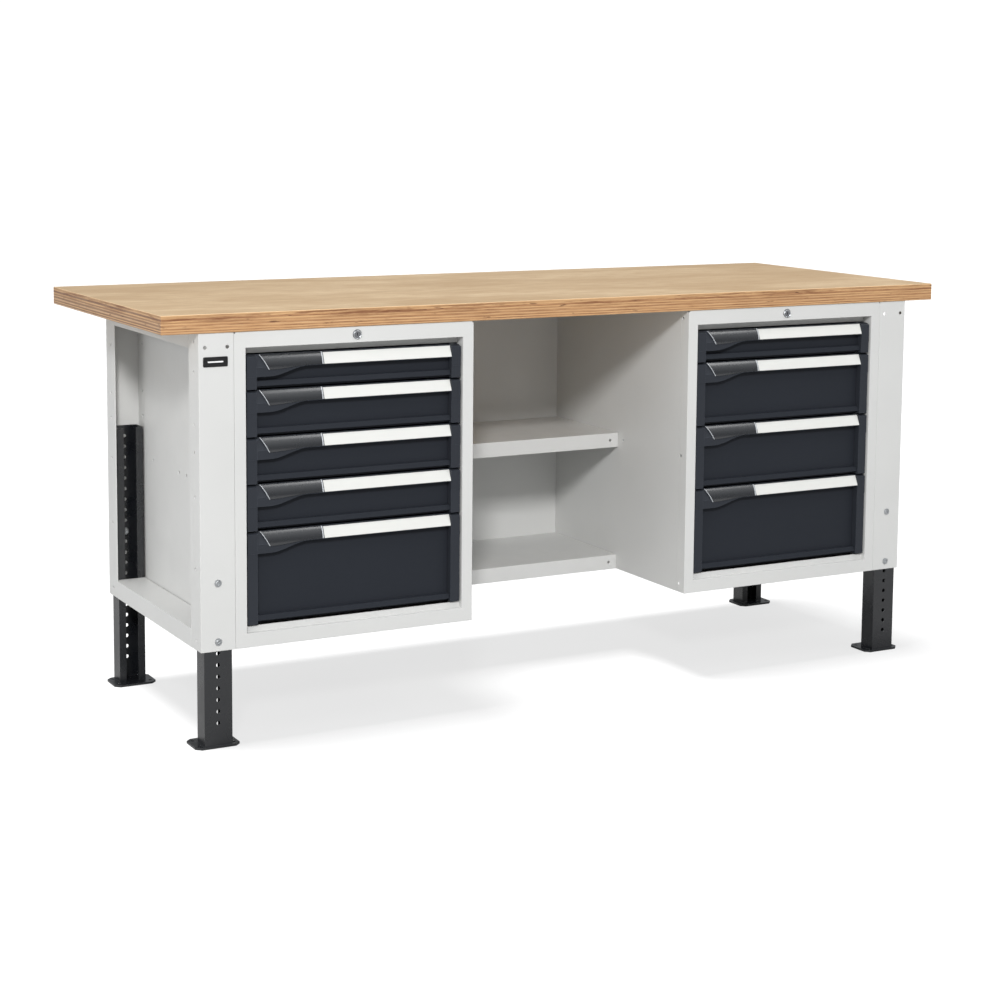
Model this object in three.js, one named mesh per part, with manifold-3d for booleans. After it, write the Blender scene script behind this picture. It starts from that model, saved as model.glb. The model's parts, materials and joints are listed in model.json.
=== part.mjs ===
// Workbench with two lockable drawer cabinets, a shelf bay between them and adjustable legs.
//
// Millimetres, +Z up, +X along the bench, -Y towards the user. The origin is on the floor under
// the middle of the worktop. Every sub-part is one closed mesh with its own name.

import * as THREE from 'three';
import { mergeVertices } from 'three/addons/utils/BufferGeometryUtils.js';
import Module from 'manifold-3d';

const wasm = await Module();
wasm.setup();

// ---------------------------------------------------------------- driving dimensions

const GRID = 0.01; // smallest step of any coordinate
const GAP = 0.3; // clearance between neighbouring pieces
const SHEET = 2; // folded steel sheet

// Worktop
const TOP_LENGTH = 2000;
const TOP_DEPTH = 750;
const TOP_THICKNESS = 40;
const BENCH_HEIGHT = 918;

// Sheet-steel frame under the worktop
const FRAME_BOTTOM = 208;
const FRAME_DEPTH = 608;
const FACE_SETBACK = 2; // frame face behind the worktop's front edge
const BAY_WIDTH = 564; // open bay between the cabinets
const CABINET_WIDTH = 560;
const POST_WIDTH = 77;
const POST_FLANGE = 60;
const FIXING_RADIUS = 3.5;
const SIDE_FIXINGS = [280, 327, 500]; // in the sheet behind each end recess, behind the frame face
const TOP_HOLE_RADIUS = 4;
const TOP_HOLE_SPREAD = 24.5; // on each side of the post's centre
const TOP_HOLE_HEIGHT = 848;

// Legs
const LEG_WIDTH = 62;
const LEG_DEPTH = 44;
const LEG_LIP = 16.5;
const LEG_SHEET = 2.5;
const LEG_TOP = 603;
const LEG_HOLE_RADIUS = 4.5;
const LEG_HOLE_PITCH = 25;
const LEG_HOLE_COUNT = 22;
const LOWEST_LEG_HOLE = 53;
const FOOT_WIDTH = 100;
const FOOT_DEPTH = 76;
const FOOT_THICKNESS = 5;
const FOOT_CORNER = 12;
const FOOT_HOLE_RADIUS = 4;
const FOOT_HOLE_INSET = 16; // from the foot's front and rear edges

// Side recesses
const TRAY_HEIGHT = 40;
const SIDE_RAIL_HEIGHT = 35;
const SIDE_RAIL_FLANGE = 58;

// Shelf bay
const SHELF_SETBACK = 304; // shelf edge behind the frame face
const SHELF_FLANGE = 35.5;
const UPPER_SHELF_BOTTOM = 513.5;
const SHELF_HOLE_INSET = 22;

// Cabinet front frames
const FACE_FRAME_DEPTH = 30;
const STILE = 26;
const BOTTOM_RAIL = 30;
const TOP_RAIL = 34;
const FACE_FIXING = 24; // fixing holes behind the frame face
const CORNER_RELIEF = 3; // small notch at each top corner
const UPSTAND_HEIGHT = 13; // flange standing on the bottom rail, under the drawers
const UPSTAND_SETBACK = 13; // behind the frame face
const CROSSMEMBER_FLANGE = 42;

// Drawers: front pitches from the bottom of each stack to its top
const DRAWER_PITCHES = {
  left: [200, 100, 100, 100, 75],
  right: [200, 150, 150, 75],
};
const STACK_BOTTOM = 253.5;
const FRONT_GAP = 3; // between one drawer front and the next
const FRONT_WIDTH = 500;
const FRONT_SETBACK = 3; // drawer fronts behind the frame face
const CAP_WIDTH = 22;
const PANEL_RECESS = 17; // drawer panel behind the end caps
const PANEL_RISE = 6; // bottom of a drawer panel's lip above the bottom of its end caps
const PANEL_FLANGE = 2; // thickness of the flange behind the lip, down to the bottom of the caps
const LIP_HEIGHT = 11;
const BODY_LENGTH = 535;
const BODY_CLEARANCE_BELOW = 6;
const BODY_CLEARANCE_ABOVE = 14;
const RAIL_WIDTH = 12;
const RAIL_THICKNESS = 3;
const RAIL_LEVEL = 22; // above the bottom of the drawer body
const RUNNER_CLEARANCE = 2; // between a rail and its runner, above and below
const RUNNER_FRONT = 11.2; // behind the cabinet shell's front edge
const RUNNER_REAR = 30; // in front of the frame's rear face

// Drawer grips
const GRIP_HEIGHT = 27;
const GRIP_LEAN = 12; // the grip's top edge behind its bottom edge
const GRIP_WALL = 2.5;
const LIP_REACH = 4; // foot of the lower lip behind the drawer front
const LIP_LEAN = 4; // top of the lip behind its foot
const SKIRT_DROP = 19; // extra depth of the grip at its left end
const SKIRT_FLAT = 50; // from the left end of the front to where the skirt starts to rise
const SKIRT_END = 140;
const SKIRT_STEPS = 10;
const SKIRT_SETBACK = 0.5; // skirt behind the foot of the grip
const CAP_CHAMFER = 4;
const CAP_STEP = 1; // lower part of an end cap behind its upper part

// Locks
const LOCK_HEIGHT = 861;
const LOCK_HEAD_RADIUS = 10;
const LOCK_BARREL_RADIUS = 8.5;
const LOCK_HEAD_STANDOUT = 1.2;
const LOCK_BARREL_REACH = 2.2; // behind the crossmember
const CAM_WIDTH = 8;
const CAM_LENGTH = 12;
const KEYWAY_WIDTH = 1.6;
const KEYWAY_HEIGHT = 7;
const LOCK_BAR_WIDTH = 12;
const LOCK_BAR_THICKNESS = 3;
const LOCK_BAR_INSET = 10; // from the cabinet's left side

// ---------------------------------------------------------------- derived positions

const FRONT = -TOP_DEPTH / 2 + FACE_SETBACK;
const REAR = FRONT + FRAME_DEPTH;
const FRAME_TOP = BENCH_HEIGHT - TOP_THICKNESS - GAP;
const SILL = FRAME_BOTTOM + BOTTOM_RAIL;
const CABINET_CENTRE = (BAY_WIDTH + CABINET_WIDTH) / 2;
const POST_INNER = BAY_WIDTH / 2 + CABINET_WIDTH;
const POST_OUTER = POST_INNER + POST_WIDTH;
const POST_CENTRE = (POST_INNER + POST_OUTER) / 2;
const LEG_FACE = SHEET + GAP; // leg web behind the post's outer face
const LEG_INNER_EDGE = LEG_FACE + LEG_DEPTH;
const SHELL_FRONT = FRONT + FACE_FRAME_DEPTH + GAP;
const FRONT_FACE = FRONT + FRONT_SETBACK;
const PANEL_BACK = FRONT_FACE + PANEL_RECESS + SHEET;
const BODY_HALF_WIDTH = FRONT_WIDTH / 2 - CAP_WIDTH;
const UPPER_FIXING_ROW = UPPER_SHELF_BOTTOM + 20;
const LOWER_FIXING_ROW = FRAME_BOTTOM + 20;

// Heights of the fixing holes in the posts' side flanges
const TOP_FIXING_ROW = 858;
const POST_HOLE_ROWS = [LOWER_FIXING_ROW, 381, UPPER_FIXING_ROW, 627, 685, 795, TOP_FIXING_ROW];

const STACK_HEIGHT = DRAWER_PITCHES.left.reduce((sum, pitch) => sum + pitch, 0);

// ---------------------------------------------------------------- solid modelling helpers

// Coordinates are snapped to a fine grid, so that faces meant to be coplanar are exactly so.
function toSolid(geometry) {
  const bare = geometry.clone();
  bare.deleteAttribute('normal');
  bare.deleteAttribute('uv');
  const merged = mergeVertices(bare, 1e-4);
  const snapped = Array.from(merged.attributes.position.array, (v) => Math.round(v / GRID) * GRID);
  return new wasm.Manifold(new wasm.Mesh({
    numProp: 3,
    vertProperties: new Float32Array(snapped),
    triVerts: new Uint32Array(merged.index.array),
  }));
}

function toGeometry(solid) {
  const mesh = solid.getMesh();
  const geometry = new THREE.BufferGeometry();
  geometry.setAttribute('position', new THREE.BufferAttribute(new Float32Array(mesh.vertProperties), 3));
  geometry.setIndex(new THREE.BufferAttribute(new Uint32Array(mesh.triVerts), 1));
  geometry.computeVertexNormals();
  return geometry;
}

// Block between two corners; each pair of limits may come in either order.
function block([xa, xb], [ya, yb], [za, zb]) {
  const geometry = new THREE.BoxGeometry(Math.abs(xb - xa), Math.abs(yb - ya), Math.abs(zb - za));
  geometry.translate((xa + xb) / 2, (ya + yb) / 2, (za + zb) / 2);
  return toSolid(geometry);
}

// Cylinder centred on a point, with its axis along 'x', 'y' or 'z'.
function rod(axis, [x, y, z], radius, length, segments) {
  const geometry = new THREE.CylinderGeometry(radius, radius, length, segments);
  if (axis === 'x') geometry.rotateZ(Math.PI / 2);
  if (axis === 'z') geometry.rotateX(Math.PI / 2);
  geometry.translate(x, y, z);
  return toSolid(geometry);
}

// Outline in the plane across an axis, extruded from one position to another along it.
// The outline's points are (x, y) for 'z', (x, z) for 'y' and (y, z) for 'x'.
function extrude(axis, points, [from, to]) {
  const shape = new THREE.Shape(points.map(([a, b]) => new THREE.Vector2(a, b)));
  const geometry = new THREE.ExtrudeGeometry(shape, { depth: to - from, bevelEnabled: false });
  geometry.translate(0, 0, from);
  const basis = new THREE.Matrix4();
  if (axis === 'x') basis.set(0, 0, 1, 0, 1, 0, 0, 0, 0, 1, 0, 0, 0, 0, 0, 1);
  if (axis === 'y') basis.set(1, 0, 0, 0, 0, 0, -1, to + from, 0, 1, 0, 0, 0, 0, 0, 1);
  geometry.applyMatrix4(basis);
  return toSolid(geometry);
}

function addAll(first, others) {
  return others.reduce((sum, solid) => sum.add(solid), first);
}

function cutAll(body, tools) {
  return tools.reduce((rest, tool) => rest.subtract(tool), body);
}

// Distance behind the frame's front face (end -1) or in front of its rear face (end +1).
function fromFace(end, distance) {
  return end < 0 ? FRONT + distance : REAR - distance;
}

// ---------------------------------------------------------------- frame

function makeWorktop() {
  return block(
    [-TOP_LENGTH / 2, TOP_LENGTH / 2],
    [-TOP_DEPTH / 2, TOP_DEPTH / 2],
    [BENCH_HEIGHT - TOP_THICKNESS, BENCH_HEIGHT],
  );
}

// U-channel post with its web on the outside and both flanges pointing into the frame.
function makePost(side, end) {
  const outside = block(
    [side * POST_INNER, side * POST_OUTER],
    [fromFace(end, 0), fromFace(end, POST_FLANGE)],
    [FRAME_BOTTOM, FRAME_TOP],
  );
  const hollow = block(
    [side * (POST_INNER + SHEET), side * (POST_OUTER - SHEET)],
    [fromFace(end, SHEET), fromFace(end, POST_FLANGE + 1)],
    [FRAME_BOTTOM - 1, FRAME_TOP + 1],
  );
  const flangeHoles = POST_HOLE_ROWS.map((height) => rod(
    'x',
    [side * POST_CENTRE, fromFace(end, POST_FLANGE / 2), height],
    FIXING_RADIUS,
    POST_WIDTH + 2,
    8,
  ));
  const topHoles = [-1, 1].map((hand) => rod(
    'y',
    [side * (POST_CENTRE + hand * TOP_HOLE_SPREAD), fromFace(end, 0), TOP_HOLE_HEIGHT],
    TOP_HOLE_RADIUS,
    3 * SHEET,
    12,
  ));
  return cutAll(outside.subtract(hollow), [...flangeHoles, ...topHoles]);
}

// Lipped channel with a row of holes in its web, welded to a foot plate.
function makeLeg(side, end) {
  const inner = POST_CENTRE - LEG_WIDTH / 2;
  const outer = POST_CENTRE + LEG_WIDTH / 2;
  const outside = block(
    [side * inner, side * outer],
    [fromFace(end, LEG_FACE), fromFace(end, LEG_INNER_EDGE)],
    [FOOT_THICKNESS / 2, LEG_TOP],
  );
  const hollow = block(
    [side * (inner + LEG_SHEET), side * (outer - LEG_SHEET)],
    [fromFace(end, LEG_FACE + LEG_SHEET), fromFace(end, LEG_INNER_EDGE - LEG_SHEET)],
    [0, LEG_TOP + 1],
  );
  const mouth = block(
    [side * (inner + LEG_LIP), side * (outer - LEG_LIP)],
    [fromFace(end, LEG_INNER_EDGE - 2 * LEG_SHEET), fromFace(end, LEG_INNER_EDGE + 1)],
    [0, LEG_TOP + 1],
  );
  const holes = Array.from({ length: LEG_HOLE_COUNT }, (_, row) => rod(
    'y',
    [side * POST_CENTRE, fromFace(end, LEG_FACE), LOWEST_LEG_HOLE + row * LEG_HOLE_PITCH],
    LEG_HOLE_RADIUS,
    4 * LEG_SHEET,
    10,
  ));
  const channel = cutAll(outside, [hollow, mouth, ...holes]);
  return channel.add(makeFootPlate(side, end));
}

function makeFootPlate(side, end) {
  const halfWidth = FOOT_WIDTH / 2;
  const outerEdge = fromFace(end, -FACE_SETBACK);
  const innerEdge = fromFace(end, FOOT_DEPTH - FACE_SETBACK);
  const near = Math.min(outerEdge, innerEdge);
  const far = Math.max(outerEdge, innerEdge);
  const centre = side * POST_CENTRE;
  const outline = [
    [centre - halfWidth + FOOT_CORNER, near],
    [centre + halfWidth - FOOT_CORNER, near],
    [centre + halfWidth, near + FOOT_CORNER],
    [centre + halfWidth, far - FOOT_CORNER],
    [centre + halfWidth - FOOT_CORNER, far],
    [centre - halfWidth + FOOT_CORNER, far],
    [centre - halfWidth, far - FOOT_CORNER],
    [centre - halfWidth, near + FOOT_CORNER],
  ];
  const holeRows = [near + FOOT_HOLE_INSET, far - FOOT_HOLE_INSET];
  const holes = [-1, 1].flatMap((hand) => holeRows.map((y) => rod(
    'z',
    [centre + hand * (halfWidth - FOOT_CORNER), y, FOOT_THICKNESS / 2],
    FOOT_HOLE_RADIUS,
    2 * FOOT_THICKNESS,
    12,
  )));
  return cutAll(extrude('z', outline, [0, FOOT_THICKNESS]), holes);
}

// Inverted channel that closes the bottom of a side recess between the two legs.
function makeSideTray(side) {
  const inner = POST_INNER + 2 * SHEET + 2 * GAP + SHEET;
  const depth = [fromFace(-1, LEG_INNER_EDGE + GAP), fromFace(1, LEG_INNER_EDGE + GAP)];
  const top = FRAME_BOTTOM + TRAY_HEIGHT;
  const outside = block([side * inner, side * POST_OUTER], depth, [FRAME_BOTTOM, top]);
  const hollow = block(
    [side * (inner + SHEET), side * (POST_OUTER - SHEET)],
    [FRONT, REAR],
    [FRAME_BOTTOM - 1, top - SHEET],
  );
  const postReliefs = [-1, 1].map((end) => block(
    [side * (POST_OUTER - SHEET - GAP), side * (POST_OUTER + 1)],
    [fromFace(end, 0), fromFace(end, POST_FLANGE + GAP)],
    [FRAME_BOTTOM - 1, top + 1],
  ));
  return cutAll(outside, [hollow, ...postReliefs]);
}

// Sheet between the legs and the cabinet.
function makeInnerPanel(side) {
  const inner = POST_INNER + SHEET + GAP;
  const sheet = block(
    [side * inner, side * (inner + SHEET)],
    [fromFace(-1, LEG_INNER_EDGE + GAP), fromFace(1, LEG_INNER_EDGE + GAP)],
    [FRAME_BOTTOM, FRAME_TOP],
  );
  const holes = SIDE_FIXINGS.map((distance) => rod(
    'x',
    [side * inner, fromFace(-1, distance), UPPER_FIXING_ROW],
    FIXING_RADIUS,
    4 * SHEET,
    8,
  ));
  return cutAll(sheet, holes);
}

// Angle under the worktop that joins the front and rear posts.
function makeSideRail(side) {
  const depth = [fromFace(-1, POST_FLANGE + GAP), fromFace(1, POST_FLANGE + GAP)];
  const web = block(
    [side * (POST_OUTER - SHEET), side * POST_OUTER],
    depth,
    [FRAME_TOP - SIDE_RAIL_HEIGHT, FRAME_TOP],
  );
  const flange = block(
    [side * (POST_OUTER - SIDE_RAIL_FLANGE), side * POST_OUTER],
    depth,
    [FRAME_TOP - SHEET, FRAME_TOP],
  );
  return web.add(flange);
}

// ---------------------------------------------------------------- shelf bay

function makeBackPanel() {
  const half = BAY_WIDTH / 2;
  return block([-half, half], [REAR - SHEET, REAR], [FRAME_BOTTOM, FRAME_TOP]);
}

// Shelf pan with its edges turned down at the front and both ends.
function makeShelf(bottom) {
  const half = BAY_WIDTH / 2;
  const front = fromFace(-1, SHELF_SETBACK);
  const back = REAR - SHEET - GAP;
  const top = bottom + SHELF_FLANGE;
  const outside = block([-half, half], [front, back], [bottom, top]);
  const hollow = block(
    [-half + SHEET, half - SHEET],
    [front + SHEET, back + 1],
    [bottom - 1, top - SHEET],
  );
  const holes = [-1, 1].map((hand) => rod(
    'y',
    [hand * (half - SHELF_HOLE_INSET), front, bottom + SHELF_FLANGE / 2],
    FIXING_RADIUS,
    4 * SHEET,
    10,
  ));
  return cutAll(outside, [hollow, ...holes]);
}

// ---------------------------------------------------------------- cabinets

// Sides, back and floor of one cabinet, open at the front and under the worktop. The floor is
// level with the top of the face frame's bottom rail.
function makeCabinetShell(side) {
  const centre = side * CABINET_CENTRE;
  const half = CABINET_WIDTH / 2 - GAP;
  const outside = block([centre - half, centre + half], [SHELL_FRONT, REAR], [FRAME_BOTTOM, FRAME_TOP]);
  const hollows = [[SILL, FRAME_TOP + 1], [FRAME_BOTTOM - 1, SILL - SHEET]].map((heights) => block(
    [centre - half + SHEET, centre + half - SHEET],
    [SHELL_FRONT - 1, REAR - SHEET],
    heights,
  ));
  const crossmember = block(
    [centre - half + 1, centre + half - 1],
    [SHELL_FRONT, SHELL_FRONT + SHEET],
    [STACK_BOTTOM + STACK_HEIGHT + 0.5, FRAME_TOP],
  );
  const flangeDepths = [
    [SHELL_FRONT, SHELL_FRONT + CROSSMEMBER_FLANGE],
    [REAR - CROSSMEMBER_FLANGE, REAR],
  ];
  const topFlanges = flangeDepths.map((depth) => block(
    [centre - half + 1, centre + half - 1],
    depth,
    [FRAME_TOP - SHEET, FRAME_TOP],
  ));
  const lockHole = rod(
    'y',
    [centre, SHELL_FRONT, LOCK_HEIGHT],
    LOCK_BARREL_RADIUS + GAP,
    4 * SHEET,
    20,
  );
  const sideHoles = SIDE_FIXINGS.map((distance) => rod(
    'x',
    [centre, fromFace(-1, distance), UPPER_FIXING_ROW],
    FIXING_RADIUS,
    CABINET_WIDTH + 2,
    8,
  ));
  const shell = addAll(cutAll(outside, hollows), [crossmember, ...topFlanges]);
  return cutAll(shell, [lockHole, ...sideHoles]);
}

// Folded face frame around the drawers, hollow at the back.
function makeFaceFrame(side) {
  const centre = side * CABINET_CENTRE;
  const half = CABINET_WIDTH / 2 - GAP;
  const opening = CABINET_WIDTH / 2 - STILE;
  const head = FRAME_TOP + GAP - TOP_RAIL;
  const back = FRONT + FACE_FRAME_DEPTH;
  const outside = block([centre - half, centre + half], [FRONT, back], [FRAME_BOTTOM, FRAME_TOP]);
  const pocket = block(
    [centre - half + SHEET, centre + half - SHEET],
    [FRONT + SHEET, back + 1],
    [FRAME_BOTTOM + SHEET, FRAME_TOP - SHEET],
  );
  const core = block(
    [centre - opening - SHEET, centre + opening + SHEET],
    [FRONT, back + 1],
    [SILL - SHEET, head + SHEET],
  );
  const doorway = block([centre - opening, centre + opening], [FRONT - 1, back + 1], [SILL, head]);
  const lockHole = rod(
    'y',
    [centre, FRONT, LOCK_HEIGHT],
    LOCK_HEAD_RADIUS + GAP,
    4 * SHEET,
    24,
  );
  const kept = block(
    [centre - opening - 2 * SHEET, centre + opening + 2 * SHEET],
    [FRONT, back],
    [FRAME_BOTTOM, FRAME_TOP],
  );
  const sideHoles = [LOWER_FIXING_ROW, UPPER_FIXING_ROW, TOP_FIXING_ROW].map((height) => rod(
    'x',
    [centre, fromFace(-1, FACE_FIXING), height],
    FIXING_RADIUS,
    CABINET_WIDTH + 2,
    8,
  ).subtract(kept));
  const cornerReliefs = [-1, 1].map((hand) => block(
    [centre + hand * (half - CORNER_RELIEF), centre + hand * (half + 1)],
    [FRONT - 1, FRONT + 2 * CORNER_RELIEF],
    [FRAME_TOP - CORNER_RELIEF, FRAME_TOP + 1],
  ));
  const upstand = block(
    [centre - opening, centre + opening],
    [FRONT + UPSTAND_SETBACK, FRONT + UPSTAND_SETBACK + SHEET],
    [SILL - SHEET, SILL + UPSTAND_HEIGHT],
  );
  const folded = cutAll(outside, [pocket.subtract(core), doorway, lockHole, ...sideHoles, ...cornerReliefs]);
  return folded.add(upstand);
}

// Bottom height of every drawer front in a stack, with its pitch.
function stackOf(name) {
  let bottom = STACK_BOTTOM;
  return DRAWER_PITCHES[name].map((pitch) => {
    const front = { base: bottom + FRONT_GAP / 2, height: pitch - FRONT_GAP };
    bottom += pitch;
    return front;
  });
}

function bodyBottom({ base }) {
  return base + BODY_CLEARANCE_BELOW;
}

function bodyTop({ base, height }) {
  return base + height - BODY_CLEARANCE_ABOVE;
}

// Height of the middle of a drawer's side rails.
function railLevel(drawer) {
  return bodyBottom(drawer) + RAIL_LEVEL;
}

// One side's rack of runner channels, hung on an upright with a turned-in front edge.
function makeRunners(side, name, hand) {
  const centre = side * CABINET_CENTRE;
  const wall = CABINET_WIDTH / 2 - 2 * GAP - SHEET;
  const outer = centre + hand * wall;
  const web = centre + hand * (wall - SHEET);
  const edge = centre + hand * (BODY_HALF_WIDTH + RAIL_WIDTH + 2);
  const channelX = [centre + hand * (wall - 1), centre + hand * (BODY_HALF_WIDTH + 3)];
  const front = SHELL_FRONT + RUNNER_FRONT;
  const back = fromFace(1, RUNNER_REAR);
  const outline = [
    [outer, front],
    [edge, front],
    [edge, front + SHEET],
    [web, front + SHEET],
    [web, back - SHEET],
    [edge, back - SHEET],
    [edge, back],
    [outer, back],
  ];
  const upright = extrude('z', outline, [
    SILL + 1,
    STACK_BOTTOM + STACK_HEIGHT - 1,
  ]);
  const flanges = stackOf(name).flatMap((drawer) => [-1, 1].map((up) => {
    const level = railLevel(drawer) + up * (RAIL_THICKNESS / 2 + RUNNER_CLEARANCE);
    return block(channelX, [front + 1, back - 1], [level, level + up * SHEET]);
  }));
  return addAll(upright, flanges);
}

// ---------------------------------------------------------------- locks

// Lock cylinder with a short cam at the end of its barrel.
function makeLockCylinder(side) {
  const centre = side * CABINET_CENTRE;
  const headFront = FRONT - LOCK_HEAD_STANDOUT;
  const headBack = FRONT + SHEET + 1;
  const barrelBack = SHELL_FRONT + SHEET + LOCK_BARREL_REACH;
  const head = rod(
    'y',
    [centre, (headFront + headBack) / 2, LOCK_HEIGHT],
    LOCK_HEAD_RADIUS,
    headBack - headFront,
    24,
  );
  const barrel = rod(
    'y',
    [centre, (headBack - 1 + barrelBack) / 2, LOCK_HEIGHT],
    LOCK_BARREL_RADIUS - GAP,
    barrelBack - headBack + 1,
    20,
  );
  const cam = block(
    [centre - CAM_WIDTH / 2, centre + CAM_WIDTH / 2],
    [barrelBack - SHEET, barrelBack],
    [LOCK_HEIGHT - CAM_LENGTH, LOCK_HEIGHT],
  );
  const keyway = block(
    [centre - KEYWAY_WIDTH / 2, centre + KEYWAY_WIDTH / 2],
    [headFront - 1, headFront + 3],
    [LOCK_HEIGHT - KEYWAY_HEIGHT / 2, LOCK_HEIGHT + KEYWAY_HEIGHT / 2],
  );
  return cutAll(addAll(head, [barrel, cam]), [keyway]);
}

// Lock bar: an upright behind the left stile and an arm that reaches the lock's cam.
function makeLockBar(side) {
  const centre = side * CABINET_CENTRE;
  const left = centre - CABINET_WIDTH / 2 + LOCK_BAR_INSET;
  const front = SHELL_FRONT + SHEET + LOCK_BARREL_REACH + 0.8;
  const depth = [front, front + LOCK_BAR_THICKNESS];
  const top = LOCK_HEIGHT - SHEET;
  const upright = block([left, left + LOCK_BAR_WIDTH], depth, [SILL + 4, top]);
  const arm = block([left, centre + LOCK_BAR_WIDTH], depth, [top - LOCK_BAR_WIDTH, top]);
  return upright.add(arm);
}

// ---------------------------------------------------------------- drawers

// Open steel box with a flat rail along each side.
function makeDrawerBody(side, drawer) {
  const centre = side * CABINET_CENTRE;
  const half = BODY_HALF_WIDTH;
  const front = PANEL_BACK + GAP;
  const back = front + BODY_LENGTH;
  const bottom = bodyBottom(drawer);
  const outside = block([centre - half, centre + half], [front, back], [bottom, bodyTop(drawer)]);
  const hollow = block(
    [centre - half + SHEET, centre + half - SHEET],
    [front + SHEET, back - SHEET],
    [bottom + SHEET, bodyTop(drawer) + 1],
  );
  const rails = [-1, 1].map((hand) => block(
    [centre + hand * (half - 1), centre + hand * (half + RAIL_WIDTH)],
    [SHELL_FRONT + RUNNER_FRONT + SHEET + RUNNER_CLEARANCE, back],
    [railLevel(drawer) - RAIL_THICKNESS / 2, railLevel(drawer) + RAIL_THICKNESS / 2],
  ));
  return addAll(outside.subtract(hollow), rails);
}

// Drawer panel with a thick, leaning lip along its bottom edge and a flange hanging behind the lip.
function makeDrawerPanel(side, { base, height }) {
  const centre = side * CABINET_CENTRE;
  const half = BODY_HALF_WIDTH - GAP;
  const face = FRONT_FACE + PANEL_RECESS;
  const lip = FRONT_FACE + LIP_REACH;
  const top = base + height - GRIP_WALL - 1;
  const bottom = base + PANEL_RISE;
  const profile = [
    [PANEL_BACK, base],
    [PANEL_BACK, top],
    [face, top],
    [face, bottom + LIP_HEIGHT],
    [lip + LIP_LEAN, bottom + LIP_HEIGHT],
    [lip, bottom],
    [PANEL_BACK - PANEL_FLANGE, bottom],
    [PANEL_BACK - PANEL_FLANGE, base],
  ];
  return extrude('x', profile, [centre - half, centre + half]);
}

// End cap: its upper part stands slightly proud and has a short chamfer at the top.
function makeEndCap(from, to, { base, height }) {
  const top = base + height;
  const step = top - GRIP_HEIGHT - SKIRT_DROP;
  const profile = [
    [FRONT_FACE + CAP_STEP, base],
    [PANEL_BACK, base],
    [PANEL_BACK, top],
    [FRONT_FACE + GRIP_LEAN, top],
    [FRONT_FACE, top - CAP_CHAMFER],
    [FRONT_FACE, step],
    [FRONT_FACE + CAP_STEP, step],
  ];
  return extrude('x', profile, [from, to]);
}

// Plastic front grip: leaning rail between two end caps, with a skirt that swells to the left.
function makeDrawerGrip(side, drawer) {
  const centre = side * CABINET_CENTRE;
  const left = centre - FRONT_WIDTH / 2;
  const right = centre + FRONT_WIDTH / 2;
  const top = drawer.base + drawer.height;
  const caps = [
    makeEndCap(left, left + CAP_WIDTH, drawer),
    makeEndCap(right - CAP_WIDTH, right, drawer),
  ];
  const railProfile = [
    [FRONT_FACE, top - GRIP_HEIGHT],
    [FRONT_FACE + GRIP_LEAN, top],
    [PANEL_BACK, top],
    [PANEL_BACK, top - GRIP_WALL],
    [FRONT_FACE + GRIP_LEAN + 1.5, top - GRIP_WALL],
    [FRONT_FACE + GRIP_WALL, top - GRIP_HEIGHT],
  ];
  const rail = extrude('x', railProfile, [left + CAP_WIDTH - 1, right - CAP_WIDTH + 1]);
  return addAll(rail, [...caps, makeSkirt(left, top)]);
}

// Skirt under the grip, flat at the left and rising in a smooth curve to the grip's foot.
function makeSkirt(left, top) {
  const lowerEdge = Array.from({ length: SKIRT_STEPS + 1 }, (_, step) => {
    const share = step / SKIRT_STEPS;
    const rise = (1 - Math.cos(Math.PI * share)) / 2;
    return [
      left + SKIRT_FLAT + share * (SKIRT_END - SKIRT_FLAT),
      top - GRIP_HEIGHT - SKIRT_DROP * (1 - rise),
    ];
  });
  const outline = [
    [left + CAP_WIDTH - 1, top - GRIP_HEIGHT - SKIRT_DROP],
    ...lowerEdge,
    [left + SKIRT_END, top - GRIP_HEIGHT + 1],
    [left + CAP_WIDTH - 1, top - GRIP_HEIGHT + 1],
  ];
  return extrude('y', outline, [FRONT_FACE + SKIRT_SETBACK, FRONT_FACE + GRIP_WALL + SKIRT_SETBACK]);
}

// ---------------------------------------------------------------- assembly

const FINISHES = {
  beech: { color: 0xdcb98c, roughness: 0.5, metalness: 0 },
  lightGrey: { color: 0xd9dbd8, roughness: 0.45, metalness: 0 },
  legGrey: { color: 0x33373c, roughness: 0.5, metalness: 0 },
  anthracitePaint: { color: 0x2e3138, roughness: 0.5, metalness: 0 },
  anthracitePlastic: { color: 0x2d2f36, roughness: 0.6, metalness: 0 },
  drawerGrey: { color: 0x3a3e45, roughness: 0.5, metalness: 0 },
  zinc: { color: 0xa9acad, roughness: 0.4, metalness: 0.9 },
  chrome: { color: 0xd5d7d9, roughness: 0.2, metalness: 1 },
};

const workbench = new THREE.Group();
workbench.name = 'workbench';

function addPart(name, solid, finish) {
  const mesh = new THREE.Mesh(toGeometry(solid), new THREE.MeshStandardMaterial(FINISHES[finish]));
  mesh.name = name;
  workbench.add(mesh);
}

addPart('worktop', makeWorktop(), 'beech');

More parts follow.
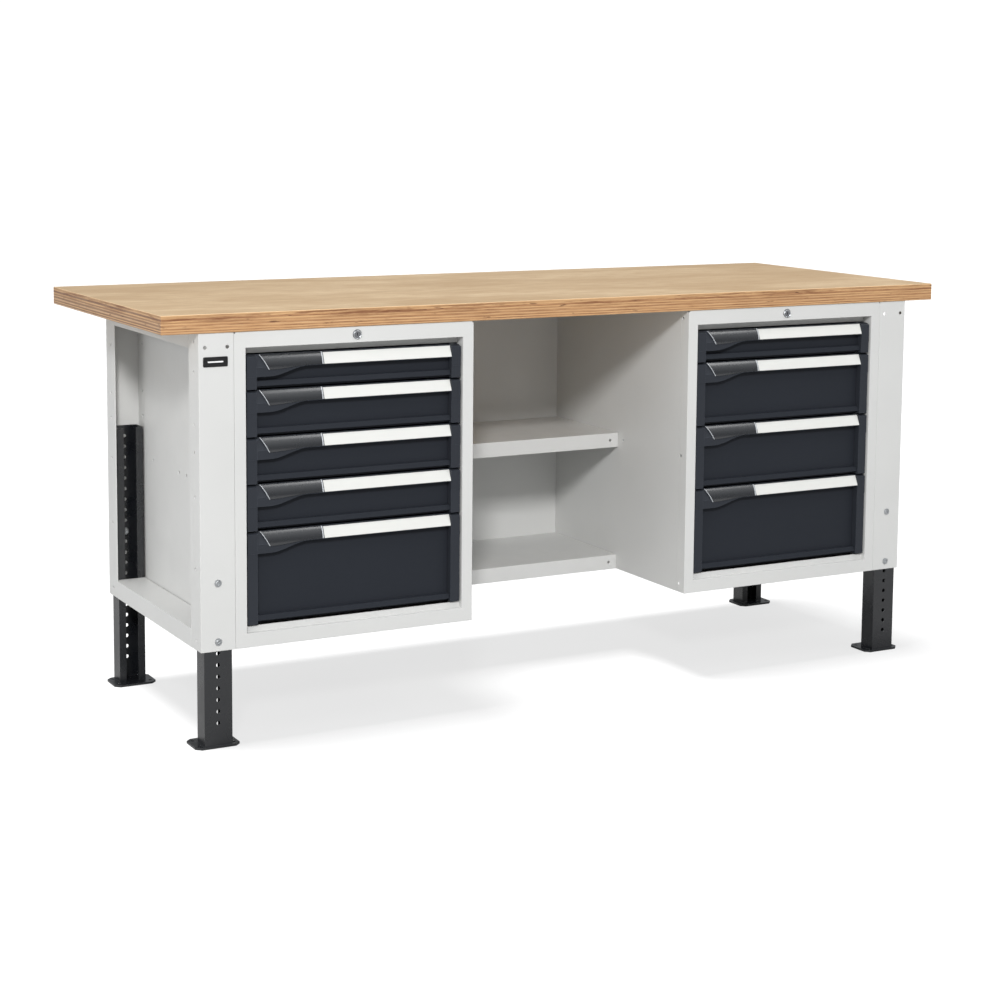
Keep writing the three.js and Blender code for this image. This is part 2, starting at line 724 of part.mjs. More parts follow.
for (const [sideName, side] of [['left', -1], ['right', 1]]) {
  for (const [endName, end] of [['front', -1], ['rear', 1]]) {
    addPart(`post_${sideName}_${endName}`, makePost(side, end), 'lightGrey');
    addPart(`leg_${sideName}_${endName}`, makeLeg(side, end), 'legGrey');
  }
  addPart(`side_tray_${sideName}`, makeSideTray(side), 'lightGrey');
  addPart(`inner_panel_${sideName}`, makeInnerPanel(side), 'lightGrey');
  addPart(`side_rail_${sideName}`, makeSideRail(side), 'lightGrey');
  addPart(`cabinet_shell_${sideName}`, makeCabinetShell(side), 'lightGrey');
  addPart(`face_frame_${sideName}`, makeFaceFrame(side), 'lightGrey');
  addPart(`lock_cylinder_${sideName}`, makeLockCylinder(side), 'chrome');
  addPart(`lock_bar_${sideName}`, makeLockBar(side), 'zinc');
  addPart(`runners_${sideName}_a`, makeRunners(side, sideName, -1), 'zinc');
  addPart(`runners_${sideName}_b`, makeRunners(side, sideName, 1), 'zinc');

  stackOf(sideName).forEach((drawer, index) => {
    const name = `drawer_${sideName}_${index + 1}`;
    addPart(`${name}_body`, makeDrawerBody(side, drawer), 'drawerGrey');
    addPart(`${name}_panel`, makeDrawerPanel(side, drawer), 'anthracitePaint');
    addPart(`${name}_grip`, makeDrawerGrip(side, drawer), 'anthracitePlastic');
  });
}

addPart('back_panel', makeBackPanel(), 'lightGrey');
addPart('shelf_upper', makeShelf(UPPER_SHELF_BOTTOM), 'lightGrey');
addPart('shelf_lower', makeShelf(FRAME_BOTTOM), 'lightGrey');

export default workbench;
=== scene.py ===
"""Looks of the workbench: finishes for every CAD node, fittings, labels, light and camera."""

import json
import math

import bmesh
import bpy
from mathutils import Matrix, Vector

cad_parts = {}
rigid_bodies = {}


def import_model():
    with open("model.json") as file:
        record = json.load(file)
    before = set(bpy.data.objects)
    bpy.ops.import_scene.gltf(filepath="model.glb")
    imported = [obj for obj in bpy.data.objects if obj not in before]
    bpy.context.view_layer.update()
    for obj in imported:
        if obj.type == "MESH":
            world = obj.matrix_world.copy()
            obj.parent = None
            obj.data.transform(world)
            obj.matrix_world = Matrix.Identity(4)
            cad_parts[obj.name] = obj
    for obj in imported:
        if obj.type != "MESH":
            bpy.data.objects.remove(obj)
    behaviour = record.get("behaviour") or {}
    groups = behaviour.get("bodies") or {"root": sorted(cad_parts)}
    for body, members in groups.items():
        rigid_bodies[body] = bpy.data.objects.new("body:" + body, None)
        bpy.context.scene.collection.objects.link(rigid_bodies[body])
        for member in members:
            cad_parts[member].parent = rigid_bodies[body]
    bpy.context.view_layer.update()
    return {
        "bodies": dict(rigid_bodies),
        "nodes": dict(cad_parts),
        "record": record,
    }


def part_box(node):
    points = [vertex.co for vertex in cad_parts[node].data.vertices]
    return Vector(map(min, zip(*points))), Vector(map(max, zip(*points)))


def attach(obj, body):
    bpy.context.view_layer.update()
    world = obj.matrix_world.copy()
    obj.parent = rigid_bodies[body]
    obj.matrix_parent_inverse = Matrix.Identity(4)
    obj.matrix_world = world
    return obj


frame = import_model()

# ---------------------------------------------------------------- sizes, in metres

MM = 0.001
SIDES = ("left", "right")
PLY = 3.2 * MM  # mean thickness of a ply along the worktop's edge
FACE_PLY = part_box("worktop")[1].z - 1.6 * MM  # height where the top veneer starts

GRIP_HEIGHT = 27 * MM
GRIP_LEAN = 12 * MM  # the grip's top edge is this far behind its foot
CAP_WIDTH = 22 * MM
LABEL_START = 175 * MM  # from the left end of a drawer front
LABEL_FOOT = 26 * MM  # below the top of a drawer front
LABEL_TOP = 2.5 * MM
LABEL_SWELL = 0.6 * MM
COVER_TOP_START = 32 * MM  # from the left end of a drawer front
COVER_FOOT_START = 50 * MM
COVER_END = 170 * MM
COVER_TOP = 1 * MM  # below the top of a drawer front
COVER_FOOT = 32 * MM
COVER_FOOT_RIGHT = 26 * MM
COVER_SWELL = 2.4 * MM
COVER_STEPS = 12
PLATE_THICKNESS = 1.2 * MM
RIM_THICKNESS = 1.6 * MM
PLATE_STEPS = 8
FITTING_GAP = 0.2 * MM  # between a fitting and what it is fixed to

BOLT_ROWS = (20 * MM, 145 * MM)  # above the bottom of the posts
NUT_INSET = 5.2 * MM  # from the post's face to the inside of the leg
RING_STEPS = 24

BADGE_WIDTH = 54 * MM
BADGE_HEIGHT = 21 * MM
BADGE_DROP = 59.5 * MM  # from the top of the post to the middle of the badge

FLOOR_REACH = 60.0
FLOOR_GLOW = 0.72  # seen by the camera
FLOOR_BOUNCE = 0.12  # thrown back on the bench
FLOOR_SUN_DIRECTION = (-0.19, 0.12, 1.0)
FLOOR_SUN_STRENGTH = 13.0
KEY_PLACE = (-3.95, -6.9, 4.75)
KEY_SIZE = 1.1
KEY_POWER = 520
FRONT_POWER = 10
LEFT_POWER = 22
STRIP_POWER = 31
SKY_TINT = (0.95, 0.975, 1.0, 1.0)
HORIZON_STRENGTH = 0.24
OVERHEAD_STRENGTH = 0.92
SKY_SEEN = 1.12  # strength of the surroundings as the camera sees them

CAMERA_PLACE = (-2.3987, -4.387, 1.3429)
CAMERA_AZIMUTH = math.radians(28.533)  # turned from +Y towards +X
CAMERA_TILT = math.radians(6.646)  # downwards
CAMERA_ROLL = math.radians(0.47)
CAMERA_LENS = 74.95
CAMERA_SHIFT = -0.15

# ---------------------------------------------------------------- shader helpers


def srgb(red, green, blue):
    """Linear colour, with alpha, from 0 to 255 screen values."""
    def linear(value):
        share = value / 255
        return share / 12.92 if share <= 0.04045 else ((share + 0.055) / 1.055) ** 2.4

    return (linear(red), linear(green), linear(blue), 1.0)


def shade(colour, factor):
    """The same colour made darker or lighter."""
    return tuple(min(1, factor * part) for part in colour[:3]) + (1.0,)


class Shader:
    """A material under construction: its node tree, output shader and object coordinates."""

    def __init__(self, name, roughness=0.5, metallic=0.0, specular=0.5):
        self.material = bpy.data.materials.new(name)
        self.material.use_nodes = True
        self.tree = self.material.node_tree
        self.surface = self.tree.nodes["Principled BSDF"]
        self.surface.inputs["Roughness"].default_value = roughness
        self.surface.inputs["Metallic"].default_value = metallic
        self.surface.inputs["Specular IOR Level"].default_value = specular
        self.place = self.node("ShaderNodeTexCoord").outputs["Object"]

    def node(self, kind, settings=None, **sockets):
        """Adds a node; a socket is given by its name with _ for each space, as a value or link."""
        made = self.tree.nodes.new(kind)
        for key, value in (settings or {}).items():
            setattr(made, key, value)
        for key, value in sockets.items():
            self.feed(made.inputs[key.replace("_", " ")], value)
        return made

    def feed(self, socket, value):
        if isinstance(value, bpy.types.NodeSocket):
            self.tree.links.new(value, socket)
        else:
            socket.default_value = value

    def math(self, operation, first, second=0.0):
        made = self.node("ShaderNodeMath", {"operation": operation})
        self.feed(made.inputs[0], first)
        self.feed(made.inputs[1], second)
        return made.outputs[0]

    def mix(self, share, low, high, blend="MIX"):
        """Colour mix; low and high are colours or links."""
        made = self.node("ShaderNodeMix", {"data_type": "RGBA", "blend_type": blend})
        self.feed(made.inputs[0], share)
        self.feed(made.inputs[6], low)
        self.feed(made.inputs[7], high)
        return made.outputs[2]

    def band(self, value, low, high, start=0.0, end=1.0):
        """Remaps value from low..high to start..end, clamped."""
        made = self.node("ShaderNodeMapRange", Value=value, From_Min=low, From_Max=high)
        made.inputs["To Min"].default_value = start
        made.inputs["To Max"].default_value = end
        return made.outputs["Result"]

    def noise(self, scale, detail=2.0, stretch=(1, 1, 1), roughness=0.5, distortion=0.0):
        """Noise over the object, with its features this many per metre along each stretched axis."""
        spread = self.node("ShaderNodeMapping", Vector=self.place)
        spread.inputs["Scale"].default_value = stretch
        return self.node(
            "ShaderNodeTexNoise",
            Vector=spread.outputs["Vector"],
            Scale=scale,
            Detail=detail,
            Roughness=roughness,
            Distortion=distortion,
        ).outputs["Fac"]

    def edges(self, reach):
        """Mask that is 1 within reach of a sharp edge and 0 elsewhere."""
        rounded = self.node("ShaderNodeBevel", {"samples": 4}, Radius=reach).outputs["Normal"]
        true = self.node("ShaderNodeNewGeometry").outputs["Normal"]
        likeness = self.node("ShaderNodeVectorMath", {"operation": "DOT_PRODUCT"})
        self.feed(likeness.inputs[0], rounded)
        self.feed(likeness.inputs[1], true)
        return self.band(likeness.outputs["Value"], 0.8, 0.98, 1.0, 0.0)

    def bump(self, height, strength, distance):
        made = self.node("ShaderNodeBump", Height=height, Strength=strength, Distance=distance)
        self.feed(self.surface.inputs["Normal"], made.outputs["Normal"])

    def colour(self, value):
        self.feed(self.surface.inputs["Base Color"], value)

    def roughness(self, value):
        self.feed(self.surface.inputs["Roughness"], value)


# ---------------------------------------------------------------- finishes


def powder_coat(name, base, gloss=0.42, specular=0.5):
    """Powder-coated steel: fine orange peel, faint clouding and lighter, slightly worn edges."""
    shader = Shader(name, specular=specular)
    cloud = shader.noise(3.0, detail=3.0)
    tone = shader.mix(shader.band(cloud, 0.3, 0.7), shade(base, 0.965), shade(base, 1.02))
    patches = shader.band(shader.noise(60.0, detail=4.0), 0.45, 0.7, 0.0, 0.4)
    edge_wear_and_highlight = shader.math("MULTIPLY", shader.edges(1.2 * MM), patches)
    shader.colour(shader.mix(edge_wear_and_highlight, tone, shade(base, 1.3)))
    shader.roughness(shader.band(shader.noise(18.0, detail=3.0), 0.3, 0.7, gloss - 0.05, gloss + 0.06))
    shader.bump(shader.noise(650.0, detail=1.0), 0.1, 0.3 * MM)
    return shader.material


def moulded_plastic(name, base, specular=0.35):
    """Fine-grained moulded plastic with a soft sheen and a painted highlight along its edges."""
    shader = Shader(name, specular=specular)
    cloud = shader.noise(9.0, detail=3.0)
    tone = shader.mix(cloud, shade(base, 0.9), shade(base, 1.1))
    # Painted highlight: within 1 mm of an edge the colour is lightened to 3.5 times the base, for light
    # caught on rounded edges.
    edge_wear_and_highlight = shader.math("MULTIPLY", shader.edges(1.0 * MM), 0.6)
    shader.colour(shader.mix(edge_wear_and_highlight, tone, shade(base, 3.5)))
    shader.roughness(shader.band(shader.noise(40.0, detail=2.0), 0.3, 0.7, 0.42, 0.52))
    grain = shader.node("ShaderNodeTexVoronoi", Vector=shader.place, Scale=1600.0).outputs["Distance"]
    shader.bump(grain, 0.12, 0.2 * MM)
    return shader.material


def metal(name, base, roughness, brushed=0.0):
    """Bare or plated metal, with an optional brushed grain across its length."""
    shader = Shader(name, metallic=1.0)
    stain = shader.noise(25.0, detail=4.0)
    shader.colour(shader.mix(stain, shade(base, 0.86), base))
    shader.roughness(shader.band(shader.noise(90.0, detail=2.0), 0.3, 0.7, roughness, roughness + 0.12))
    shader.bump(shader.noise(500.0, detail=3.0, stretch=(1, 0.05, 1)), 0.05 + brushed, 0.1 * MM)
    return shader.material


def plain_plastic(name, base, roughness):
    """Smooth plastic or card with a barely uneven surface."""
    shader = Shader(name)
    shader.colour(shader.mix(shader.noise(35.0, detail=3.0), shade(base, 0.95), base))
    shader.roughness(shader.band(shader.noise(60.0), 0.3, 0.7, roughness - 0.03, roughness + 0.05))
    shader.bump(shader.noise(300.0), 0.04, 0.1 * MM)
    return shader.material


def smoked_plastic(name, base):
    """Dark cover with a clear, glossy top coat that catches the light overhead."""
    shader = Shader(name, specular=0.4)
    shader.colour(shader.mix(shader.noise(30.0), shade(base, 0.92), shade(base, 1.08)))
    shader.roughness(shader.band(shader.noise(80.0), 0.3, 0.7, 0.26, 0.32))
    shader.surface.inputs["Coat Weight"].default_value = 1.0
    shader.surface.inputs["Coat Roughness"].default_value = 0.2
    shader.surface.inputs["Coat IOR"].default_value = 1.7
    return shader.material


def plywood(name):
    """Thick beech plywood: sanded veneer on the faces and its stacked plies along the edges."""
    shader = Shader(name, roughness=0.5)
    facing = shader.node("ShaderNodeNewGeometry").outputs["Normal"]
    normal = shader.node("ShaderNodeSeparateXYZ", Vector=facing)
    along = shader.math("ABSOLUTE", normal.outputs["X"])
    upward = shader.math("ABSOLUTE", normal.outputs["Z"])
    veneer = veneer_colour(shader)
    front = edge_colour(shader, end=False)
    ends = edge_colour(shader, end=True)
    edges = shader.mix(shader.band(along, 0.6, 0.8), front, ends)
    shader.colour(shader.mix(shader.band(upward, 0.6, 0.8), edges, veneer))
    fibre = shader.noise(30.0, detail=4.0, stretch=(1, 30, 6))
    shader.roughness(shader.band(fibre, 0.3, 0.7, 0.42, 0.56))
    shader.bump(fibre, 0.06, 0.3 * MM)
    return shader.material


def veneer_colour(shader):
    """Pale veneer with long fibres, short flecks and broad lighter and darker zones."""
    zones = shader.noise(1.9, detail=3.0, stretch=(1, 3, 1), distortion=0.8)
    clouds = shader.noise(14.0, detail=5.0, stretch=(1, 2.5, 1), roughness=0.6)
    streaks = shader.noise(9.0, detail=7.0, stretch=(1, 18, 1), roughness=0.7)
    flecks = shader.noise(45.0, detail=3.0, stretch=(1, 12, 1))
    light = shader.mix(shader.band(zones, 0.38, 0.62), srgb(200, 170, 130), srgb(224, 197, 158))
    mottled = shader.mix(shader.band(clouds, 0.42, 0.66, 0.0, 0.45), light, srgb(190, 156, 114))
    grained = shader.mix(shader.band(streaks, 0.42, 0.68, 0.0, 0.75), mottled, srgb(184, 149, 106))
    return shader.mix(shader.band(flecks, 0.58, 0.72, 0.0, 0.5), grained, srgb(176, 138, 94))


def edge_colour(shader, end):
    """Stacked plies, alternately light and dark, with thin glue lines and uneven staining."""
    place = shader.node("ShaderNodeSeparateXYZ", Vector=shader.place)
    wander = shader.noise(1.2, detail=2.0, stretch=(1, 1, 0.2))
    uneven = shader.noise(70.0, detail=0.0, stretch=(0.002, 0.002, 1))
    sway = shader.math("MULTIPLY", wander, 4 * MM)
    jitter = shader.math("MULTIPLY", uneven, 8 * MM)
    shift = shader.math("ADD", sway, jitter)
    layer = shader.math("DIVIDE", shader.math("ADD", place.outputs["Z"], shift), PLY)
    index = shader.math("FLOOR", layer)
    within = shader.math("FRACT", layer)
    crossed = shader.math("FLOORED_MODULO", index, 2.0)
    tone = shader.node("ShaderNodeTexWhiteNoise", {"noise_dimensions": "1D"}, W=index).outputs["Value"]
    fibres = shader.band(shader.noise(13.0, detail=8.0, stretch=(1, 1, 32), roughness=0.78), 0.4, 0.62)
    pale = shader.mix(fibres, srgb(212, 172, 128), srgb(176, 130, 86))
    deep = shader.mix(fibres, srgb(190, 144, 100), srgb(126, 82, 52))
    if end:
        pale = shader.mix(fibres, srgb(205, 172, 138), srgb(180, 142, 108))
        deep = shader.mix(fibres, srgb(150, 118, 92), srgb(112, 82, 62))
    plies = shader.mix(crossed, pale, deep)
    varied = shader.mix(shader.math("MULTIPLY", tone, 0.6), plies, srgb(204, 162, 114))
    upper = shader.band(place.outputs["Z"], FACE_PLY - 20 * MM, FACE_PLY - 8 * MM, 0.15, 1.0)
    streaks = shader.noise(6.0, detail=8.0, stretch=(1, 1, 26), roughness=0.72, distortion=0.4)
    stain = shader.math("MULTIPLY", shader.band(streaks, 0.47, 0.6, 0.0, 0.85), upper)
    stained = shader.mix(stain, varied, srgb(112, 64, 36))
    gaps = shader.band(shader.noise(26.0, detail=3.0, stretch=(1, 1, 9)), 0.66, 0.72, 0.0, 0.85)
    stained = shader.mix(gaps, stained, srgb(84, 48, 30))
    glue = shader.band(within, 0.0, 0.2, 0.6 if end else 0.45, 0.0)
    glued = shader.mix(glue, stained, srgb(104, 70, 44))
    face_ply = shader.band(place.outputs["Z"], FACE_PLY, FACE_PLY + 0.4 * MM)
    return shader.mix(face_ply, glued, srgb(226, 194, 152))


FINISHES = {
    "multiplex": plywood("plywood"),
    "light_grey_paint": powder_coat("light_grey_paint", srgb(207, 207, 205)),
    "leg_grey_paint": powder_coat("leg_grey_paint", srgb(17, 19, 23), gloss=0.28, specular=0.9),
    "drawer_grey_paint": powder_coat("drawer_grey_paint", srgb(52, 55, 60), gloss=0.45),
    "anthracite_paint": powder_coat("anthracite_paint", srgb(39, 42, 48), gloss=0.5, specular=0.12),
    "anthracite_plastic": moulded_plastic("anthracite_plastic", srgb(45, 48, 54), specular=0.2),
    "zinc_plate": metal("zinc_plate", srgb(196, 199, 201), 0.32, brushed=0.05),
    "lock_chrome": metal("lock_chrome", srgb(150, 152, 156), 0.12),
}
LABEL_WHITE = plain_plastic("label_white", srgb(216, 216, 212), 0.45)
BADGE_BLACK = plain_plastic("badge_black", srgb(16, 16, 18), 0.3)
BADGE_LINE = plain_plastic("badge_line", srgb(235, 235, 235), 0.4)
COVER_SMOKED = smoked_plastic("cover_smoked", srgb(27, 29, 33))
# Light grey of the strips on the covers' ends: a painted highlight for the glints along a clear cover's
# edges.
COVER_EDGE_HIGHLIGHT = plain_plastic("cover_edge_highlight", srgb(190, 193, 197), 0.15)


# ---------------------------------------------------------------- mesh helpers


def add_mesh(name, build, materials, body):
    """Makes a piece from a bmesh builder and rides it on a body."""
    mesh = bpy.data.meshes.new(name)
    shape = bmesh.new()
    build(shape)
    bmesh.ops.recalc_face_normals(shape, faces=shape.faces)
    shape.to_mesh(mesh)
    shape.free()
    piece = bpy.data.objects.new(name, mesh)
    bpy.context.scene.collection.objects.link(piece)
    for material in materials:
        mesh.materials.append(material)
    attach(piece, body)
    return piece


def soften(piece, width, segments=2, angle=30):
    """Rounds a piece's edges and smooths the shading across them."""
    for polygon in piece.data.polygons:
        polygon.use_smooth = True
    weld = piece.modifiers.new("weld", "WELD")
    weld.merge_threshold = 0.005 * MM
    bevel = piece.modifiers.new("bevel", "BEVEL")
    bevel.width = width
    bevel.segments = segments
    bevel.limit_method = "ANGLE"
    bevel.angle_limit = math.radians(angle)
    bevel.use_clamp_overlap = True
    weighted = piece.modifiers.new("normals", "WEIGHTED_NORMAL")
    weighted.keep_sharp = False


def skin(shape, rings, closed=False):
    """Joins equal rings of points in turn and returns them; when closed, the last joins the first."""
    rows = [[shape.verts.new(point) for point in ring] for ring in rings]
    count = len(rows[0])
    followers = rows[1:] + rows[:1] if closed else rows[1:]
    for low, high in zip(rows, followers):
        for i in range(count):
            j = (i + 1) % count
            shape.faces.new((low[i], low[j], high[j], high[i]))
    return rows


def loft(shape, rings):
    """Skins a list of equal rings of points and closes both ends."""
    rows = skin(shape, rings)
    shape.faces.new(rows[0])
    shape.faces.new(rows[-1])


def ring(centre, facing, radius, depth, corners=None):
    """Points round an axis along Y: a circle, or a polygon with its flats at this radius."""
    points = []
    for step in range(RING_STEPS):
        angle = 2 * math.pi * step / RING_STEPS
        reach = radius
        if corners:
            sector = 2 * math.pi / corners
            reach = radius / math.cos((angle + sector / 2) % sector - sector / 2)
        points.append(centre + Vector((reach * math.cos(angle), -facing * depth, reach * math.sin(angle))))
    return points


# ---------------------------------------------------------------- CAD nodes


def dress_nodes():
    """Gives every CAD node its finish and slightly rounded edges."""
    slots = {entry["node"]: entry["material_slot"] for entry in frame["record"]["subparts"]}
    widths = {"multiplex": 1.6 * MM, "light_grey_paint": 0.9 * MM, "anthracite_plastic": 0.9 * MM}
    for name, node in frame["nodes"].items():
        node.data.materials.clear()
        node.data.materials.append(FINISHES[slots[name]])
        soften(node, widths.get(slots[name], 0.6 * MM))


# ---------------------------------------------------------------- leg bolts


def bolt_head(centre, facing):
    """Flanged button head with a hexagon socket, standing out from the post's face."""
    def build(shape):
        outline = [(8.0, 0.0), (8.0, 0.7), (6.4, 0.9), (5.6, 1.0), (5.2, 1.5), (4.4, 1.85), (3.4, 1.95)]
        rings = [ring(centre, facing, r * MM, d * MM) for r, d in outline]
        rings.append(ring(centre, facing, 2.5 * MM, 1.9 * MM, corners=6))
        rings.append(ring(centre, facing, 2.4 * MM, 0.5 * MM, corners=6))
        loft(shape, rings)
    return build


def nut_and_shank(centre, facing):
    """Flanged nut against the inside of the leg, with the bolt's end standing out of it."""
    def build(shape):
        outline = [
            (8.5, 0.0, None), (8.5, 1.0, None), (7.4, 1.6, None), (6.5, 1.8, 6), (6.5, 6.6, 6),
            (6.0, 7.2, None), (4.2, 7.4, None), (3.9, 7.4, None), (3.9, 10.4, None), (3.3, 11.0, None),
        ]
        loft(shape, [ring(centre, facing, r * MM, d * MM, corners) for r, d, corners in outline])
    return build


def add_leg_bolts():
    """Two bolts, each with its nut, through every post and its leg."""
    zinc = FINISHES["zinc_plate"]
    for side in SIDES:
        for end, facing in (("front", 1), ("rear", -1)):
            low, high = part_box(f"post_{side}_{end}")
            face = low.y if facing > 0 else high.y
            middle = (low.x + high.x) / 2
            inside = face + facing * NUT_INSET
            for row, rise in enumerate(BOLT_ROWS, 1):
                name = f"{side}_{end}_{row}"
                head = bolt_head(Vector((middle, face - facing * FITTING_GAP, low.z + rise)), facing)
                nut = nut_and_shank(Vector((middle, inside, low.z + rise)), -facing)
                add_mesh(f"leg_bolt_{name}", head, [zinc], "frame")
                add_mesh(f"leg_nut_{name}", nut, [zinc], "frame")


# ---------------------------------------------------------------- drawer labels and covers


def over_grip(box, across, below, swell, lift):
    """Point standing off the leaning grip, from its left end and its top; swell bulges mid-height."""
    low, high = box
    share = 1 - min(below / GRIP_HEIGHT, 1)
    lean = Vector((GRIP_LEAN, GRIP_HEIGHT)).normalized()
    out = lift + swell * 4 * max(share, 0) * (1 - share)
    return Vector((
        low.x + across,
        low.y + share * GRIP_LEAN - out * lean.y,
        high.z - below + out * lean.x,
    ))


def curved_plate(box, columns, swell, lift, thickness):
    """Closed plate over a grip's box; each column gives its foot and top as (across, below)."""
    def build(shape):
        rings = []
        for (foot_across, foot), (top_across, top) in columns:
            outer, inner = [], []
            for step in range(PLATE_STEPS + 1):
                share = step / PLATE_STEPS
                across = foot_across + (top_across - foot_across) * share
                below = foot + (top - foot) * share
                outer.append(over_grip(box, across, below, swell, lift + thickness))
                inner.append(over_grip(box, across, below, swell, lift))
            rings.append(outer + inner[::-1])
        loft(shape, rings)
    return build


def cover_columns(start, end):
    """Columns of the smoked cover between two shares of its length; its foot rises to the right."""
    columns = []
    for step in range(COVER_STEPS + 1):
        share = start + (end - start) * step / COVER_STEPS
        rise = (1 - math.cos(math.pi * min(share / 0.8, 1))) / 2
        foot = COVER_FOOT + (COVER_FOOT_RIGHT - COVER_FOOT) * rise
        foot_across = COVER_FOOT_START + (COVER_END - COVER_FOOT_START) * share
        top_across = COVER_TOP_START + (COVER_END - COVER_TOP_START) * share
        columns.append(((foot_across, foot), (top_across, COVER_TOP)))
    return columns


def highlight_rim_builders(box):
    """Light grey strips standing slightly proud of the smoked cover's slanting left end and right end: a
    painted highlight for the glints along its edges.
    """
    ends = [cover_columns(-0.011, -0.001), cover_columns(1.001, 1.02)]
    return [curved_plate(box, columns, COVER_SWELL, FITTING_GAP, RIM_THICKNESS) for columns in ends]


def add_drawer_fittings(name):
    """White label strip and smoked cover on one drawer's grip, with light grey strips on the cover's ends
    as a painted highlight.
    """
    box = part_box(f"{name}_grip")
    label_end = box[1].x - box[0].x - CAP_WIDTH - 0.5 * MM
    label_columns = [((x, LABEL_FOOT), (x, LABEL_TOP)) for x in (LABEL_START, label_end)]
    label = add_mesh(
        f"{name}_label",
        curved_plate(box, label_columns, LABEL_SWELL, FITTING_GAP, PLATE_THICKNESS),
        [LABEL_WHITE], name,
    )
    soften(label, 0.4 * MM)
    cover = add_mesh(
        f"{name}_cover",
        curved_plate(box, cover_columns(0.0, 1.0), COVER_SWELL, FITTING_GAP, PLATE_THICKNESS),
        [COVER_SMOKED], name,
    )
    soften(cover, 0.3 * MM)
    # Painted highlight: light grey strips on the cover's two ends.
    builders = highlight_rim_builders(box)
    highlight_rims = add_mesh(
        f"{name}_cover_highlight_rims",
        lambda shape: [build(shape) for build in builders],
        [COVER_EDGE_HIGHLIGHT], name,
    )
    soften(highlight_rims, 0.2 * MM)


# ---------------------------------------------------------------- locks


def add_lock_ring(side):
    """Bright, rounded ring round the darker face of a lock's plug."""
    low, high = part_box(f"lock_cylinder_{side}")
    centre = Vector(((low.x + high.x) / 2, low.y - FITTING_GAP, (low.z + high.z) / 2))
    outline = [(9.6, 0.0), (9.6, 0.5), (9.0, 1.0), (7.8, 1.0), (7.2, 0.6), (7.2, 0.0)]
    rings = [ring(centre, 1, r * MM, d * MM) for r, d in outline]
    add_mesh(
        f"lock_{side}_ring",
        lambda shape: skin(shape, rings, closed=True),
        [FINISHES["zinc_plate"]], f"lock_{side}",
    )


# ---------------------------------------------------------------- badge


def rounded_plate(centre, width, height, front, back, radius):
    """Upright plate facing -Y with rounded corners."""
    corners = [(1, 1), (-1, 1), (-1, -1), (1, -1)]

    def outline(y, inset):
        points = []
        for index, (across, up) in enumerate(corners):
            middle = Vector((across * (width / 2 - radius), 0, up * (height / 2 - radius)))
            for step in range(5):
                angle = math.pi / 2 * (index + step / 4)
                arc = Vector((math.cos(angle), 0, math.sin(angle))) * (radius - inset)
                points.append(Vector((centre.x, y, centre.z)) + middle + arc)
        return points

    def build(shape):
        bevel = (back - front) * 0.4
        loft(shape, [outline(back, 0), outline(front + bevel, 0), outline(front, bevel)])
    return build


def add_badge():
    """Blank name plate near the top of the left front post, with a plain raised bar on it."""
    low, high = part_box("post_left_front")
    centre = Vector(((low.x + high.x) / 2 - 2 * MM, 0, high.z - BADGE_DROP))
    plate_front = low.y - 1.2 * MM
    add_mesh(
        "badge",
        rounded_plate(centre, BADGE_WIDTH, BADGE_HEIGHT, plate_front, low.y - FITTING_GAP, 2.5 * MM),
        [BADGE_BLACK], "frame",
    )
    add_mesh(
        "badge_bar",
        rounded_plate(centre, 34 * MM, 3 * MM, plate_front - 0.5 * MM, plate_front - 0.1 * MM, 1.2 * MM),
        [BADGE_LINE], "frame",
    )


# ---------------------------------------------------------------- stage, light and camera


def add_floor():
    """Wide pale floor that glows, so that shadows on it stay light."""
    mesh = bpy.data.meshes.new("floor")
    shape = bmesh.new()
    bmesh.ops.create_grid(shape, x_segments=4, y_segments=4, size=FLOOR_REACH)
    shape.to_mesh(mesh)
    shape.free()
    floor = bpy.data.objects.new("floor", mesh)
    bpy.context.scene.collection.objects.link(floor)
    shader = Shader("floor_paper", roughness=0.95, specular=0.0)
    shader.colour(shader.mix(shader.noise(0.7), srgb(88, 88, 88), srgb(91, 91, 91)))
    shader.surface.inputs["Emission Color"].default_value = (1, 1, 1, 1)
    seen = shader.node("ShaderNodeLightPath").outputs["Is Camera Ray"]
    glow = shader.band(seen, 0.0, 1.0, FLOOR_BOUNCE, FLOOR_GLOW)
    shader.feed(shader.surface.inputs["Emission Strength"], glow)
    mesh.materials.append(shader.material)
    floor.location.z = -0.3 * MM
    return floor


def aim(place, target):
    """Rotation that points a light at place towards target."""
    return (Vector(target) - Vector(place)).to_track_quat("-Z", "Y").to_euler()


def add_area_light(name, place, target, size, power):
    light = bpy.data.lights.new(name, "AREA")
    light.shape = "RECTANGLE"
    light.size, light.size_y = size
    light.energy = power
    lamp = bpy.data.objects.new(name, light)
    lamp.location = place
    lamp.rotation_euler = aim(place, target)
    bpy.context.scene.collection.objects.link(lamp)


def add_floor_light(floor):
    """Light from overhead for the floor alone; the cabinets shade it but the worktop doesn't."""
    light = bpy.data.lights.new("floor_light", "SUN")
    light.energy = FLOOR_SUN_STRENGTH
    light.angle = math.radians(20)
    lamp = bpy.data.objects.new("floor_light", light)
    lamp.rotation_euler = aim(FLOOR_SUN_DIRECTION, (0, 0, 0))
    bpy.context.scene.collection.objects.link(lamp)
    lit = bpy.data.collections.new("lit_floor")
    lit.objects.link(floor)
    lamp.light_linking.receiver_collection = lit
    shading = bpy.data.collections.new("shading_floor")
    for name, node in frame["nodes"].items():
        if name != "worktop":
            shading.objects.link(node)
    lamp.light_linking.blocker_collection = shading


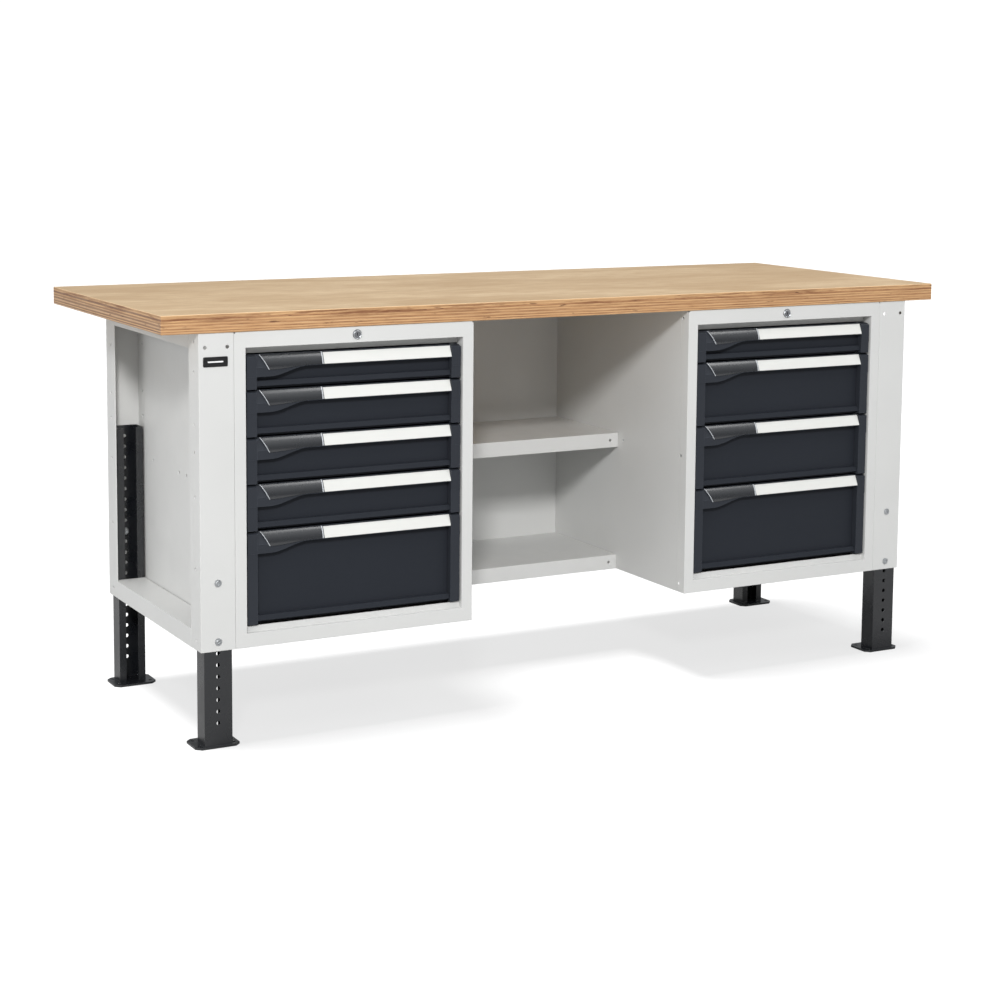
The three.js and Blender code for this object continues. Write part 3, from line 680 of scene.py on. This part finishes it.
def add_studio_world():
    """White surroundings, bright overhead and dim near the horizon; the camera sees plain white."""
    world = bpy.data.worlds.new("studio")
    world.use_nodes = True
    tree = world.node_tree
    background = tree.nodes["Background"]
    background.inputs["Color"].default_value = SKY_TINT
    direction = tree.nodes.new("ShaderNodeTexCoord").outputs["Generated"]
    split = tree.nodes.new("ShaderNodeSeparateXYZ")
    tree.links.new(direction, split.inputs["Vector"])
    overhead = tree.nodes.new("ShaderNodeMapRange")
    overhead.interpolation_type = "SMOOTHSTEP"
    overhead.inputs["From Min"].default_value = 0.1
    overhead.inputs["From Max"].default_value = 0.9
    overhead.inputs["To Min"].default_value = HORIZON_STRENGTH
    overhead.inputs["To Max"].default_value = OVERHEAD_STRENGTH
    tree.links.new(split.outputs["Z"], overhead.inputs["Value"])
    strength = tree.nodes.new("ShaderNodeMapRange")
    strength.inputs["To Max"].default_value = SKY_SEEN
    tree.links.new(overhead.outputs["Result"], strength.inputs["To Min"])
    seen = tree.nodes.new("ShaderNodeLightPath").outputs["Is Camera Ray"]
    tree.links.new(seen, strength.inputs["Value"])
    tree.links.new(strength.outputs["Result"], background.inputs["Strength"])
    bpy.context.scene.world = world


def add_lights(floor):
    """Key from the front left, weak softboxes that fill its shadows, and a streak over the top."""
    add_floor_light(floor)
    add_area_light("key", KEY_PLACE, (0, 0, 0.5), (KEY_SIZE, KEY_SIZE), KEY_POWER)
    add_area_light("front_softbox", (-3.0, -4.4, 2.3), (0.2, 0, 0.5), (2.6, 2.0), FRONT_POWER)
    add_area_light("streak_strip", (1.9, -1.85, 3.95), (1.9, -0.9, 0.5), (2.2, 1.5), STRIP_POWER)
    add_area_light("left_softbox", (-3.6, -0.6, 1.2), (0, 0, 0.6), (2.4, 2.0), LEFT_POWER)
    add_studio_world()
    bpy.context.scene.view_settings.view_transform = "Standard"


def add_camera():
    """Long lens at the photograph's angle: from the front left, slightly above the top."""
    camera = bpy.data.cameras.new("camera")
    camera.lens = CAMERA_LENS
    camera.shift_y = CAMERA_SHIFT
    camera.clip_end = 200
    holder = bpy.data.objects.new("camera", camera)
    forward = Vector((
        math.sin(CAMERA_AZIMUTH) * math.cos(CAMERA_TILT),
        math.cos(CAMERA_AZIMUTH) * math.cos(CAMERA_TILT),
        -math.sin(CAMERA_TILT),
    ))
    turn = forward.to_track_quat("-Z", "Y") @ Matrix.Rotation(CAMERA_ROLL, 3, "Z").to_quaternion()
    holder.location = CAMERA_PLACE
    holder.rotation_mode = "QUATERNION"
    holder.rotation_quaternion = turn
    bpy.context.scene.collection.objects.link(holder)
    bpy.context.scene.camera = holder


# ---------------------------------------------------------------- build

dress_nodes()
add_leg_bolts()
for body in frame["bodies"]:
    if body.startswith("drawer_"):
        add_drawer_fittings(body)
for lock_side in SIDES:
    add_lock_ring(lock_side)
add_badge()
add_lights(add_floor())
add_camera()
